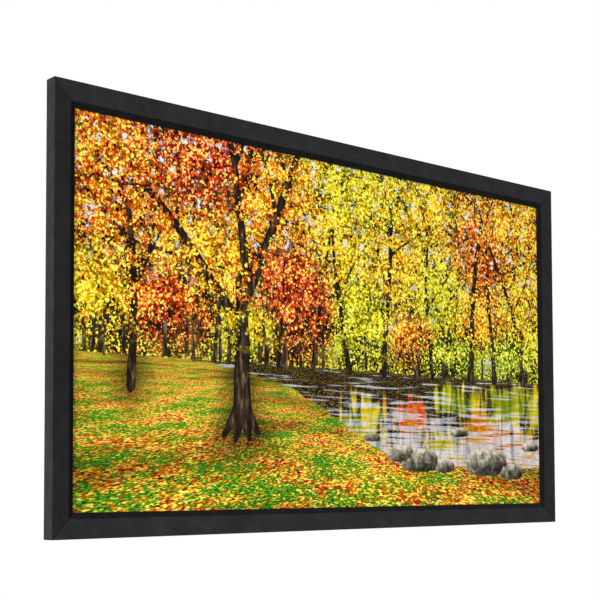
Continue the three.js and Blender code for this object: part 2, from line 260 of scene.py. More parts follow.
def powder_coat():
    """Black polyester powder on folded steel: an orange peel 2 mm across, with a low gloss."""
    material, tree, shader = start_material("black_powder_coat", Roughness=0.5)
    place = object_place(tree)
    peel = add(tree, "TexNoise", place, inputs={"Scale": per(2), "Detail": 2})
    dust = add(tree, "TexNoise", place, inputs={"Scale": per(25), "Detail": 4})
    tone = add(tree, "ValToRGB", dust, stops=[(0.35, "1C1C1E"), (0.7, "2A2A2C")])
    bump = add(tree, "Bump", inputs={"Strength": 0.4, "Distance": 0.1 * MM, "Height": peel})
    feed(tree, shader, Base_Color=tone, Normal=bump)
    return material


def moulded_nylon():
    """Injection moulded nylon 6, black, from a spark eroded tool: an even, fine grain.

    The grain is 0.1 mm across, and is drawn at 0.7 mm to show. The flow marks are 11 mm across.
    """
    material, tree, shader = start_material("moulded_nylon", IOR=1.53)
    place = object_place(tree)
    grain = add(tree, "TexNoise", place, inputs={"Scale": per(0.714), "Detail": 2})
    flow = add(tree, "TexNoise", place, inputs={"Scale": per(11.1), "Detail": 2})
    tone = add(tree, "ValToRGB", flow, stops=[(0.35, "19191A"), (0.7, "262627")])
    rough = add(tree, "MapRange", flow, inputs={"To Min": 0.42, "To Max": 0.6})
    bump = add(tree, "Bump", inputs={"Strength": 0.3, "Distance": 0.05 * MM, "Height": grain})
    feed(tree, shader, Base_Color=tone, Roughness=rough, Normal=bump)
    return material


def glass_fibre(name, along):
    """Pultruded glass fibre rod: cream resin over rovings 0.7 mm wide that run along it."""
    material, tree, shader = start_material(name, Roughness=0.42, IOR=1.52)
    stretch = [per(250) if axis == along else per(0.667) for axis in range(3)]
    fibres = add(tree, "TexNoise", object_place(tree, stretch), inputs={"Scale": 1, "Detail": 3})
    tone = add(tree, "ValToRGB", fibres, stops=[(0.3, "C9BF9B"), (0.6, "E2DABF"), (0.8, "EFEAD8")])
    feed(tree, shader, Base_Color=tone)
    return material


def black_vinyl():
    """Calendered black PVC, the sheet's light-tight back: a low sheen over a 1.1 mm embossed grain."""
    material, tree, shader = start_material("black_vinyl_back", IOR=1.53)
    place = object_place(tree)
    grain = add(tree, "TexNoise", place, inputs={"Scale": per(1.11), "Detail": 2})
    cloud = add(tree, "TexNoise", place, inputs={"Scale": per(200), "Detail": 3})
    tone = add(tree, "ValToRGB", cloud, stops=[(0.35, "1D1D1F"), (0.65, "252527")])

    # The electrode that welds the hem leaves a band of fine slanting ribs and a gloss on the hem's
    # back. A wave texture has 20 / tau waves to each unit of its scale.
    _, _, nearest = from_outer_edges(tree, place)
    band_end = PANEL_EDGE + WELD_WIDTH
    begins = add(tree, "MapRange", nearest, PANEL_EDGE + 3 * MM, PANEL_EDGE + 4 * MM)
    ends = add(tree, "MapRange", nearest, band_end - 2 * MM, band_end - 3 * MM)
    across_band = add(tree, "Math", begins, ends, operation="MULTIPLY")
    depth = add(tree, "SeparateXYZ", place).outputs[1]
    behind_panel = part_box("screen_sheet")[0].y + 1.5 * SHEET_THICKNESS
    on_hem = add(tree, "Math", depth, behind_panel, operation="GREATER_THAN")
    band = add(tree, "Math", across_band, on_hem, operation="MULTIPLY")
    slant = add(tree, "Mapping", place, inputs={"Rotation": (0, math.pi / 4, 0)})
    ribs = add(tree, "TexWave", slant, inputs={"Scale": math.tau / (20 * WELD_RIBS)}, wave_profile="TRI")
    welded = add(tree, "Math", ribs, band, operation="MULTIPLY")
    rough = add(tree, "MapRange", band, 0, 1, 0.5, 0.3)
    fine = add(tree, "Bump", inputs={"Strength": 0.2, "Distance": 0.1 * MM, "Height": grain})
    weld = {"Strength": 0.8, "Distance": 0.3 * MM, "Height": welded, "Normal": fine}
    feed(tree, shader, Base_Color=tone, Roughness=rough, Normal=add(tree, "Bump", inputs=weld))
    return material


# The picture on the sheet: an autumn wood beside a lake, painted as fields of colour and simple shapes.
# The sheet's points hold how far each lies from the shapes, and the material paints leaves, bark, stone
# and water by that. Its places are (x, z) in metres from the picture's middle, and its textures' scales
# are in patterns per metre.

FAR_SHORE = -0.125
LEAF_WIDTH, FAR_LEAF_WIDTH = 9 * MM, 6 * MM
# A limb has this many lengths, and each keeps this share of the width of the one before.
LIMB_LENGTHS, LIMB_TAPER = 4, 0.86
FAR_TRUNKS = 54

# Leaf colours by hue, from green through yellow and orange to red
AUTUMN = [
    (0.0, "4E7F16"),
    (0.2, "B9C41A"),
    (0.36, "FFE40C"),
    (0.52, "FFB70A"),
    (0.68, "F77A0B"),
    (0.84, "EA3A08"),
    (1.0, "A81A08"),
]
BLEACHED_HUE = 0.38

# Crowns: middle, half width, half height and hue
CROWNS = (
    (-0.98, 0.44, 0.28, 0.30, 0.70),
    (-0.62, 0.54, 0.26, 0.18, 0.94),
    (-0.60, 0.24, 0.20, 0.15, 0.58),
    (-1.02, 0.10, 0.15, 0.15, 0.46),
    (-0.78, 0.06, 0.13, 0.10, 0.86),
    (-0.30, 0.46, 0.22, 0.22, 0.62),
    (-0.22, 0.17, 0.18, 0.15, 0.90),
    (-0.42, 0.00, 0.10, 0.06, 0.40),
    (-0.02, 0.33, 0.16, 0.17, 0.44),
    (0.10, 0.55, 0.24, 0.16, 0.36),
    (0.10, 0.10, 0.13, 0.12, 0.26),
    (0.27, 0.28, 0.17, 0.15, 0.50),
    (0.36, 0.04, 0.11, 0.07, 0.72),
    (0.44, 0.50, 0.22, 0.19, 0.48),
    (0.52, 0.20, 0.17, 0.14, 0.30),
    (0.60, -0.03, 0.12, 0.06, 0.12),
    (0.76, 0.40, 0.21, 0.20, 0.80),
    (0.76, 0.12, 0.15, 0.12, 0.60),
    (0.98, 0.52, 0.24, 0.20, 0.56),
    (1.02, 0.22, 0.16, 0.18, 0.50),
    (0.92, -0.02, 0.15, 0.08, 0.10),
    (1.09, 0.00, 0.08, 0.10, 0.30),
)

# Boulders at the near shore: middle, half width and half height
BOULDERS = (
    (0.30, -0.435, 0.080, 0.042),
    (0.40, -0.462, 0.110, 0.060),
    (0.535, -0.478, 0.060, 0.034),
    (0.78, -0.470, 0.135, 0.074),
    (0.93, -0.500, 0.080, 0.044),
    (0.62, -0.345, 0.055, 0.024),
    (0.145, -0.370, 0.045, 0.022),
    (1.05, -0.395, 0.060, 0.026),
)

# The limbs of the forked tree and, last, the slim one: foot, lean, length, half width and forks
NEAR_LIMBS = (
    ((-0.455, -0.27), 0.03, 0.42, 0.038, 0),
    ((-0.445, -0.06), -0.55, 0.62, 0.022, 3),
    ((-0.43, 0.12), 0.42, 0.60, 0.024, 3),
    ((-0.44, 0.13), -0.12, 0.55, 0.020, 2),
    ((-0.90, -0.23), 0.10, 0.62, 0.017, 2),
)

# Trees beyond the lake: foot, lean, length and half width
LAKE_TREES = (
    (0.03, -0.10, 0.52, 0.012),
    (0.21, 0.16, 0.60, 0.015),
    (0.47, -0.05, 0.50, 0.011),
    (0.69, 0.10, 0.66, 0.017),
    (0.83, -0.14, 0.56, 0.012),
    (1.01, 0.04, 0.60, 0.014),
    (-0.14, 0.06, 0.48, 0.010),
    (-0.30, -0.08, 0.40, 0.009),
)


def limb_distance(x, z, start, end, start_half, end_half):
    """Distance from points to a tapered limb, negative inside it."""
    (x0, z0), (x1, z1) = start, end
    run = ((x - x0) * (x1 - x0) + (z - z0) * (z1 - z0)) / ((x1 - x0) ** 2 + (z1 - z0) ** 2)
    run = np.clip(run, 0, 1)
    reach = np.hypot(x - x0 - run * (x1 - x0), z - z0 - run * (z1 - z0))
    return reach - (start_half + run * (end_half - start_half))


def nearest_limb(x, z, limbs):
    return np.min([limb_distance(x, z, *limb) for limb in limbs], axis=0)


def grow(random, limbs, here, angle, length, half, forks):
    """A limb in bent lengths, with smaller ones from it. Angles are from upright, in radians."""
    for step in range(LIMB_LENGTHS):
        angle += random.normal(0, 0.10)
        part = length / LIMB_LENGTHS
        there = (here[0] + part * math.sin(angle), here[1] + part * math.cos(angle))
        limbs.append((here, there, half, half * LIMB_TAPER))
        here, half = there, half * LIMB_TAPER
        if forks and step:
            fork = angle + random.choice((-1, 1)) * random.uniform(0.4, 0.95)
            grow(random, limbs, here, fork, length * random.uniform(0.42, 0.64), half * 0.55, forks - 1)


def near_trees(random):
    """A forked maple on the left bank, a slim one behind it, and darker trunks beyond the lake."""
    limbs = []
    # The maple's roots, up to the foot of its trunk
    for foot in ((-0.535, -0.375), (-0.485, -0.392), (-0.425, -0.385), (-0.385, -0.368)):
        limbs.append((foot, (-0.457, -0.27), 0.009, 0.034))
    for foot, lean, length, half, forks in NEAR_LIMBS:
        grow(random, limbs, foot, lean, length, half, forks)
    for foot_x, lean, length, half in LAKE_TREES:
        grow(random, limbs, (foot_x, FAR_SHORE - 0.004), lean, length, half, 2)
    return limbs


def far_trees(random):
    """The wood's trunks on the far shore."""
    limbs = []
    for _ in range(FAR_TRUNKS):
        x = random.uniform(-1.1, 1.1)
        foot = FAR_SHORE + random.uniform(-0.012, 0.012)
        lean = random.normal(0, 0.02)
        half = random.uniform(0.003, 0.009)
        limbs.append(((x, foot), (x + lean, foot + random.uniform(0.16, 0.36)), half, half * 0.6))
    return limbs


def foliage(x, z):
    """The crowns at points (x, z): their hue, how deep inside one a point is, and its light."""
    weight = np.full(x.shape, 1e-3)
    hue, light = 0.45 * weight, np.zeros(x.shape)
    cover = np.full(x.shape, -1.0)
    for middle_x, middle_z, half_x, half_z, own_hue in CROWNS:
        u, v = (x - middle_x) / half_x, (z - middle_z) / half_z
        near = np.exp(-2.2 * (u**2 + v**2))
        weight += near
        hue += near * own_hue
        light += near * (0.85 * v - 0.45 * u)
        cover = np.maximum(cover, 1 - np.hypot(u, v))
    return hue / weight, cover, light


def picture_fields(x, z, random):
    """The picture's fields at points (x, z), by name."""
    hue, cover, light = foliage(x, z)
    mirrored_hue, mirrored_cover, _ = foliage(x, 2 * FAR_SHORE - z)
    run = np.clip((x + 0.62) / 1.15, 0, 1)
    near_shore = FAR_SHORE - 0.35 * run**2 * (3 - 2 * run) - 0.012 * np.sin(9 * x)
    stone, stone_light = np.full(x.shape, -1.0), np.zeros(x.shape)
    for middle_x, middle_z, half_x, half_z in BOULDERS:
        u, v = (x - middle_x) / half_x, (z - middle_z) / half_z
        # Flat at the foot, and squarer than an oval
        own = 1 - (np.abs(u) ** 2.6 + np.abs(np.where(v < 0, 1.7 * v, v)) ** 2.2) ** (1 / 2.4)
        stone_light = np.where(own > stone, 0.5 + 0.5 * v - 0.25 * u, stone_light)
        stone = np.maximum(stone, own)
    return {
        "hue": hue,
        "cover": cover,
        "light": light,
        "mirrored_hue": mirrored_hue,
        "mirrored_cover": mirrored_cover,
        "water": np.minimum(FAR_SHORE - z, z - near_shore),
        "stone": stone,
        "stone_light": stone_light,
        "far_wood": nearest_limb(x, z, far_trees(random)),
        "near_wood": nearest_limb(x, z, near_trees(random)),
    }


def leaves(tree, place, width, hue, light):
    """Leaves of one width, each with its own hue and shade. Gives their colour and a value per leaf."""
    wobble = add(tree, "TexNoise", place, inputs={"Scale": 0.6 / width, "Detail": 1}).outputs["Color"]
    offset = add(tree, "VectorMath", wobble, inputs={"Scale": width * 1.6}, operation="SCALE")
    bent = add(tree, "VectorMath", place, offset, operation="ADD")
    cells = add(tree, "TexVoronoi", bent, inputs={"Scale": 1 / width})
    own_hue, own_shade, own_value = add(tree, "SeparateColor", cells.outputs["Color"]).outputs
    # One leaf in five is in deep shade, and each is darker at its rim.
    shade = add(tree, "FloatCurve", inputs={"Value": own_shade})
    curve = shade.mapping.curves[0].points
    curve[0].location, curve[1].location = (0.0, 0.0), (1.0, 1.0)
    curve.new(0.22, 0.30)
    shade.mapping.update()
    rim = add(tree, "MapRange", cells.outputs["Distance"], 0.42, 0.80, 1.0, 0.24)
    lit = add(tree, "Math", add(tree, "MapRange", shade, 0, 1, 0.0, 2.3), light)
    lit = add(tree, "Math", lit, rim, operation="MULTIPLY")
    # The brightest are bleached by the sun, towards yellow and then cream.
    bleach = add(tree, "MapRange", lit, 1.0, 1.9, 0.0, 0.6)
    shift = add(tree, "MapRange", own_hue, 0, 1, -0.2, 0.2)
    varied = add(tree, "Math", hue, shift)
    yellowed = add(tree, "Mix", inputs={0: bleach, 2: varied, 3: BLEACHED_HUE})
    colour = add(tree, "ValToRGB", yellowed, stops=AUTUMN)
    shaded = add(tree, "MixRGB", 1.0, colour, lit, blend_type="MULTIPLY", use_clamp=True)
    cream = add(tree, "Math", bleach, 0.35, operation="MULTIPLY")
    return add(tree, "MixRGB", cream, shaded, linear("FFF6C8")), own_value


def projection_face():
    """Matt white PVC under a picture: it has no gloss, so that it looks the same from every side."""
    material, tree, shader = start_material(
        "matt_projection_face", Roughness=0.95, Specular_IOR_Level=0.1
    )
    place = add(tree, "TexCoord").outputs["Object"]
    across, _, height = add(tree, "SeparateXYZ", place).outputs
    fields = {
        name: add(tree, "Attribute", attribute_name=name).outputs["Fac"]
        for name in (
            "hue", "cover", "light", "mirrored_hue", "mirrored_cover", "water", "stone", "stone_light",
            "far_wood", "near_wood",
        )
    }

    # The wood behind: dark gaps with far leaves in them
    far_noise = add(tree, "TexNoise", place, inputs={"Scale": 7, "Detail": 5, "Roughness": 0.6})
    far_leaf, far_value = leaves(tree, place, FAR_LEAF_WIDTH, fields["hue"], -0.1)
    gap_tones = [(0.38, "080A07"), (0.5, "18220F"), (0.58, "3E5A1C"), (0.64, "A8B046"), (0.7, "E6E8E4")]
    gaps = add(tree, "ValToRGB", far_noise, stops=gap_tones)
    massed = add(tree, "Math", far_value, far_noise, operation="MULTIPLY")
    wood = add(tree, "MixRGB", add(tree, "MapRange", massed, 0.26, 0.30), gaps, far_leaf)

    # Crowns, ragged at their edges and darker in their folds
    clump = add(tree, "TexNoise", place, inputs={"Scale": 11, "Detail": 6, "Roughness": 0.65})
    sunlit = add(tree, "MapRange", fields["light"], -0.6, 0.6, -0.3, 0.45)
    folds = add(tree, "MapRange", clump, 0.34, 0.66, -0.65, 0.65)
    light = add(tree, "Math", sunlit, folds)
    near_leaf, near_value = leaves(tree, place, LEAF_WIDTH, fields["hue"], light)
    ragged = add(tree, "MapRange", clump, 0.3, 0.7, -0.6, 0.5)
    body = add(tree, "Math", fields["cover"], ragged)
    # They are thin near the far shore, and high up the sky shows through them.
    thinner = add(tree, "MapRange", height, FAR_SHORE, FAR_SHORE + 0.20, -0.5, 0.0)
    body = add(tree, "Math", body, thinner)
    high_up = add(tree, "MapRange", height, 0.05, 0.35)
    sky_noise = add(tree, "TexNoise", place, inputs={"Scale": 26, "Detail": 5, "Roughness": 0.7})
    holes = add(tree, "MapRange", sky_noise, 0.56, 0.63)
    sky_holes = add(tree, "Math", holes, high_up, operation="MULTIPLY")
    body = add(tree, "Math", body, add(tree, "Math", sky_holes, -1.2, operation="MULTIPLY"))
    wood = add(tree, "MixRGB", sky_holes, wood, linear("EDF0F2"))
    crown_mask = add(tree, "MapRange", add(tree, "Math", body, near_value), 0.50, 0.56)

    # Bark with upright furrows, dark where a near trunk turns away
    upright = add(tree, "Mapping", place, inputs={"Scale": (60, 1, 14)})
    furrows = add(tree, "TexNoise", upright, inputs={"Scale": 1, "Detail": 4})
    bark_tones = [(0.34, "120D09"), (0.52, "3B2C20"), (0.64, "7A6448"), (0.78, "B09A74")]
    bark = add(tree, "ValToRGB", furrows, stops=bark_tones)
    uneven = add(tree, "MapRange", furrows, 0, 1, -0.003, 0.003)
    far_edge = add(tree, "Math", fields["far_wood"], uneven)
    far_mask = add(tree, "MapRange", far_edge, 0.001, -0.001)
    near_edge = add(tree, "Math", fields["near_wood"], uneven)
    near_mask = add(tree, "MapRange", near_edge, 0.001, -0.001)
    turned_away = add(tree, "MapRange", near_edge, -0.03, 0.0, 1.0, 0.25)
    near_bark = add(tree, "MixRGB", 1.0, bark, turned_away, blend_type="MULTIPLY")

    # Sprays of leaves in front of the near trunks, but for their feet
    spray_noise = add(tree, "TexNoise", place, inputs={"Scale": 19, "Detail": 4})
    sprayed = add(tree, "MapRange", spray_noise, 0.35, 0.65, -0.6, 0.5)
    thick = add(tree, "Math", near_value, sprayed)
    spray = add(tree, "Math", thick, 0.62, operation="GREATER_THAN")
    above_feet = add(tree, "MapRange", height, -0.10, 0.02)
    spray_mask = add(tree, "Math", spray, above_feet, operation="MULTIPLY")

    # Twigs: broken lines between cells, bent by noise
    bend = add(tree, "TexNoise", place, inputs={"Scale": 14, "Detail": 4}).outputs["Color"]
    bent = add(tree, "VectorMath", bend, inputs={"Scale": 0.16}, operation="SCALE")
    twig_place = add(tree, "VectorMath", place, bent, operation="ADD")
    cracks = add(tree, "TexVoronoi", twig_place, inputs={"Scale": 9}, feature="DISTANCE_TO_EDGE")
    broken = add(tree, "TexNoise", place, inputs={"Scale": 6, "Detail": 2})
    twig_width = add(tree, "MapRange", broken, 0.42, 0.62, 0.0, 0.030)
    off_twig = add(tree, "Math", cracks, twig_width, operation="SUBTRACT")
    twigs = add(tree, "MapRange", off_twig, 0.006, -0.006)
    among_crowns = add(tree, "MapRange", height, 0.02, 0.10)
    twig_mask = add(tree, "Math", twigs, among_crowns, operation="MULTIPLY")

    # The near bank in perspective: grass under fallen leaves
    below = add(tree, "Math", FAR_SHORE, height, operation="SUBTRACT")
    drop = add(tree, "Math", add(tree, "Math", below, 0.09), 0.02, operation="MAXIMUM")
    ground_x = add(tree, "Math", across, drop, operation="DIVIDE")
    ground_y = add(tree, "Math", 1.5, drop, operation="DIVIDE")
    ground = add(tree, "CombineXYZ", ground_x, ground_y)
    patches = add(tree, "TexNoise", ground, inputs={"Scale": 1.6, "Detail": 5, "Roughness": 0.6})
    blades = add(tree, "TexNoise", ground, inputs={"Scale": 40, "Detail": 2})
    grass_tones = [(0.3, "0F2C0A"), (0.47, "2B7014"), (0.6, "6FB526"), (0.75, "D2DC52")]
    grass = add(tree, "ValToRGB", blades, stops=grass_tones)
    glade = add(tree, "TexNoise", ground, inputs={"Scale": 0.45, "Detail": 3})
    litter_light = add(tree, "MapRange", glade, 0.35, 0.62, -0.3, 0.4)
    litter_hue = add(tree, "MapRange", patches, 0.3, 0.7, 0.36, 0.86)
    litter, litter_value = leaves(tree, ground, 0.028, litter_hue, litter_light)
    soil = add(tree, "ValToRGB", blades, stops=[(0.35, "3A2A14"), (0.55, "8A6A34"), (0.7, "CDB27A")])
    turf = add(tree, "MixRGB", add(tree, "MapRange", patches, 0.52, 0.60), grass, soil)
    strewn = add(tree, "MapRange", patches, 0.36, 0.56, 0.06, 0.9)
    fallen = add(tree, "Math", litter_value, strewn, operation="LESS_THAN")
    bank = add(tree, "MixRGB", fallen, turf, litter)
    under_trunk = add(tree, "MapRange", fields["near_wood"], 0.0, 0.09, 0.3, 1.0)
    in_glade = add(tree, "MapRange", glade, 0.36, 0.5, 0.5, 1.0)
    shade = add(tree, "Math", under_trunk, in_glade, operation="MULTIPLY")
    bank = add(tree, "MixRGB", 1.0, bank, shade, blend_type="MULTIPLY")

    # The lake: the crowns upside down, drawn out by ripples, with the sky between them
    rippled = add(tree, "Mapping", place, inputs={"Scale": (5, 1, 85)})
    ripple = add(tree, "TexNoise", rippled, inputs={"Scale": 1, "Detail": 3})
    smeared = add(tree, "Mapping", place, inputs={"Scale": (30, 1, 5)})
    smear = add(tree, "TexNoise", smeared, inputs={"Scale": 1, "Detail": 3, "Distortion": 0.8})
    hue_shift = add(tree, "MapRange", smear, 0.25, 0.75, -0.25, 0.25)
    mirrored_hue = add(tree, "Math", fields["mirrored_hue"], hue_shift)
    mirrored = add(tree, "ValToRGB", mirrored_hue, stops=AUTUMN)
    drawn_out = add(tree, "MapRange", smear, 0.3, 0.7, -0.6, 0.5)
    mirrored_cover = add(tree, "Math", fields["mirrored_cover"], drawn_out)
    dulling = add(tree, "MapRange", ripple, 0.3, 0.7, 0.45, 1.1)
    dulled = add(tree, "MixRGB", 1.0, mirrored, dulling, blend_type="MULTIPLY")
    in_crown = add(tree, "MapRange", mirrored_cover, -0.1, 0.3)
    under = add(tree, "MixRGB", in_crown, linear("14180F"), dulled)
    sky = add(tree, "ValToRGB", smear, stops=[(0.35, "9BA3B2"), (0.65, "DDE1E8")])
    glints = add(tree, "Math", ripple, add(tree, "MapRange", below, 0.03, 0.3, -0.05, 0.12))
    lake = add(tree, "MixRGB", add(tree, "MapRange", glints, 0.52, 0.60, 0.0, 0.85), under, sky)
    floating = add(tree, "Math", litter_value, 0.07, operation="LESS_THAN")
    lake = add(tree, "MixRGB", floating, lake, litter)
    uneven_shore = add(tree, "MapRange", patches, 0, 1, -0.03, 0.03)
    shore = add(tree, "Math", fields["water"], uneven_shore)

    # Boulders: pale on top, wet and dark at the foot
    stone_grain = {"Scale": 30, "Detail": 7, "Roughness": 0.72, "Distortion": 0.5}
    grain = add(tree, "TexNoise", place, inputs=stone_grain)
    pitted = add(tree, "MapRange", grain, 0.25, 0.75, -0.55, 0.5)
    stone_light = add(tree, "Math", fields["stone_light"], pitted)
    stone_tones = [(0.1, "14130F"), (0.4, "4A463C"), (0.62, "827B6B"), (0.82, "B5AD99"), (1.0, "DDD5BE")]
    stone = add(tree, "ValToRGB", stone_light, stops=stone_tones)
    chipped = add(tree, "MapRange", grain, 0.2, 0.8, -0.28, 0.16)
    stone_body = add(tree, "Math", fields["stone"], chipped)

    picture = wood
    for mask, colour in (
        (add(tree, "MapRange", below, 0.0, 0.004), bank),
        (add(tree, "MapRange", shore, -0.002, 0.002), lake),
        (far_mask, bark),
        (crown_mask, near_leaf),
        (twig_mask, bark),
        (near_mask, near_bark),
        (spray_mask, near_leaf),
        (add(tree, "MapRange", stone_body, 0.0, 0.03), stone),
    ):
        picture = add(tree, "MixRGB", mask, picture, colour)
    feed(tree, shader, Base_Color=picture)
    return material


# Pieces


def deselect():
    bpy.ops.object.select_all(action="DESELECT")


def select_only(thing):
    deselect()
    bpy.context.view_layer.objects.active = thing
    thing.select_set(True)


def points_of(thing):
    """The places of a mesh's points, one row each."""
    points = np.empty(len(thing.data.vertices) * 3)
    thing.data.vertices.foreach_get("co", points)
    return points.reshape(-1, 3)


def pick_edges(thing, test):
    """Selects, for edit mode, the edges whose middle passes the test."""
    bpy.ops.object.mode_set(mode="EDIT")
    bpy.ops.mesh.select_mode(type="EDGE")
    bpy.ops.mesh.select_all(action="DESELECT")
    bpy.ops.object.mode_set(mode="OBJECT")
    ends = np.empty(2 * len(thing.data.edges), dtype=np.int32)
    thing.data.edges.foreach_get("vertices", ends)
    middles = points_of(thing)[ends.reshape(-1, 2)].mean(axis=1)
    thing.data.edges.foreach_set("select", test(*middles.T))
    bpy.ops.object.mode_set(mode="EDIT")


def extrude_along(path, inwards):
    """Extrudes what is selected along a path in (s, d), where s runs inwards."""
    for (s0, d0), (s1, d1) in zip(path, path[1:]):
        step = Vector(inwards) * (s1 - s0) + Vector((0, d1 - d0, 0))
        bpy.ops.mesh.extrude_region_move(TRANSFORM_OT_translate={"value": step})


def cut(place, normal, **ways):
    """Cuts all of the mesh that is being edited along a plane."""
    bpy.ops.mesh.select_all(action="SELECT")
    bpy.ops.mesh.bisect(plane_co=place, plane_no=normal, **ways)


def apply_modifier(thing, kind, **settings):
    """Puts a modifier on the active piece and applies it at once."""
    modifier = thing.modifiers.new(kind.lower(), kind)
    for name, setting in settings.items():
        setattr(modifier, name, setting)
    bpy.ops.object.modifier_apply(modifier=modifier.name)


def velvet_wrap(name, length, across, material):
    """One side's velvet: a strip that runs round the bar's front, cut to the mitre at both ends."""
    face_foot = (FACE_WIDTH, FACE_FALL)
    slope = math.atan2(FACE_FALL, FACE_WIDTH - EDGE_RADIUS)
    across_face = math.hypot(FACE_FALL, FACE_WIDTH - EDGE_RADIUS)
    top = across / 2
    deselect()
    bpy.ops.mesh.primitive_plane_add(size=1, location=(0, 0, 0))
    wrap = bpy.context.object
    wrap.name = name
    wrap.scale = (length, across_face, 1)
    wrap.rotation_euler = (math.pi / 2 + slope, 0, 0)
    wrap.location = (0, FRONT + FACE_FALL / 2, top - (EDGE_RADIUS + FACE_WIDTH) / 2)
    bpy.ops.object.transform_apply()
    wrap.data.materials.append(material)

    # Out round the edge and back to the rear, then in over the bevel and under the lip
    inwards = (0, 0, -1)
    pick_edges(wrap, lambda x, y, z: z > top - EDGE_RADIUS - MM)
    round_edge = [
        (EDGE_RADIUS * (1 - math.sin(turn)), EDGE_RADIUS * (1 - math.cos(turn)))
        for turn in np.linspace(0, math.pi / 2, EDGE_STEPS + 1)
    ]
    extrude_along([*round_edge, (0, FRAME_DEPTH), (TURN_IN, FRAME_DEPTH)], inwards)
    pick_edges(wrap, lambda x, y, z: (z < top - FACE_WIDTH + MM) & (abs(x) < MM))
    lip_d = NOSE_FRONT + NOSE_DEPTH
    lip = [(BORDER, NOSE_FRONT), (BORDER, lip_d), (BORDER - TURN_IN, lip_d)]
    extrude_along([face_foot, *lip], inwards)

    creases = [face_foot, *lip[:2], (0, FRAME_DEPTH)]

    def on_crease(x, y, z):
        s, d = top - z, y - FRONT
        at_one = [(abs(s - own_s) < MM / 2) & (abs(d - own_d) < MM / 2) for own_s, own_d in creases]
        return (abs(x) < MM) & np.any(at_one, axis=0)

    pick_edges(wrap, on_crease)
    bpy.ops.mesh.bevel(offset=CREASE_ROUNDING, segments=CREASE_STEPS)
    bpy.ops.object.mode_set(mode="OBJECT")
    apply_modifier(wrap, "SOLIDIFY", thickness=VELVET_THICKNESS, offset=-1, use_even_offset=True)
    bpy.ops.object.mode_set(mode="EDIT")
    end = length / 2 - MITRE_GAP / math.sqrt(2)
    for side in (-1, 1):
        cut((side * end, 0, top), (side, 0, -1), use_fill=True, clear_outer=True)
    bpy.ops.object.mode_set(mode="OBJECT")
    bpy.ops.object.shade_smooth()
    apply_modifier(wrap, "WEIGHTED_NORMAL", weight=90)
    return wrap


def copied(thing, name):
    select_only(thing)
    bpy.ops.object.duplicate()
    copy = bpy.context.object
    copy.name = name
    return copy


def turned(thing, quarters):
    """Turns a piece in the plane of the frame by quarter turns, and keeps the turn in its mesh."""
    select_only(thing)
    thing.rotation_euler = (0, quarters * math.pi / 2, 0)
    bpy.ops.object.transform_apply()
    return thing


def velvet_wraps():
    """The four wraps, one on each bar. The lower and the right one are turned copies."""
    long_velvet = black_velvet("black_velvet_long", 1.0)
    # The uprights' velvet is a copy with painted shade: its face keeps 0.78 of the tone.
    upright_velvet_painted_shade = black_velvet("black_velvet_upright_painted_shade", 0.78)
    long_side, short_side = 2 * HALF_WIDTH, 2 * HALF_HEIGHT
    top = velvet_wrap("velvet_top", long_side, short_side, long_velvet)
    bottom = turned(copied(top, "velvet_bottom"), 2)
    left = turned(velvet_wrap("velvet_left", short_side, long_side, upright_velvet_painted_shade), -1)
    right = turned(copied(left, "velvet_right"), 2)
    # Each wrap hangs from the root, in place of its CAD node, which is hidden
    for piece, side, length in (
        (top, "top", long_side),
        (bottom, "bottom", long_side),
        (left, "left", short_side),
        (right, "right", short_side),
    ):
        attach(piece, "root")
        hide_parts("velvet_wrap_" + side)


# The sheet's four sides: name, and the way inwards from that edge
SHEET_SIDES = (("top", (0, 0, -1)), ("bottom", (0, 0, 1)), ("left", (1, 0, 0)), ("right", (-1, 0, 0)))


def clip_windows(side):
    """Where the hem of a side is left out for its clips, as pairs of places along it."""
    axis = "x" if side in ("top", "bottom") else "z"
    pairs = []
    for name in nodes:
        if name.startswith("tension_clip_" + side):
            low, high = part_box(name)
            pairs.append((getattr(low, axis) - WINDOW_MARGIN, getattr(high, axis) + WINDOW_MARGIN))
    return sorted(pairs)


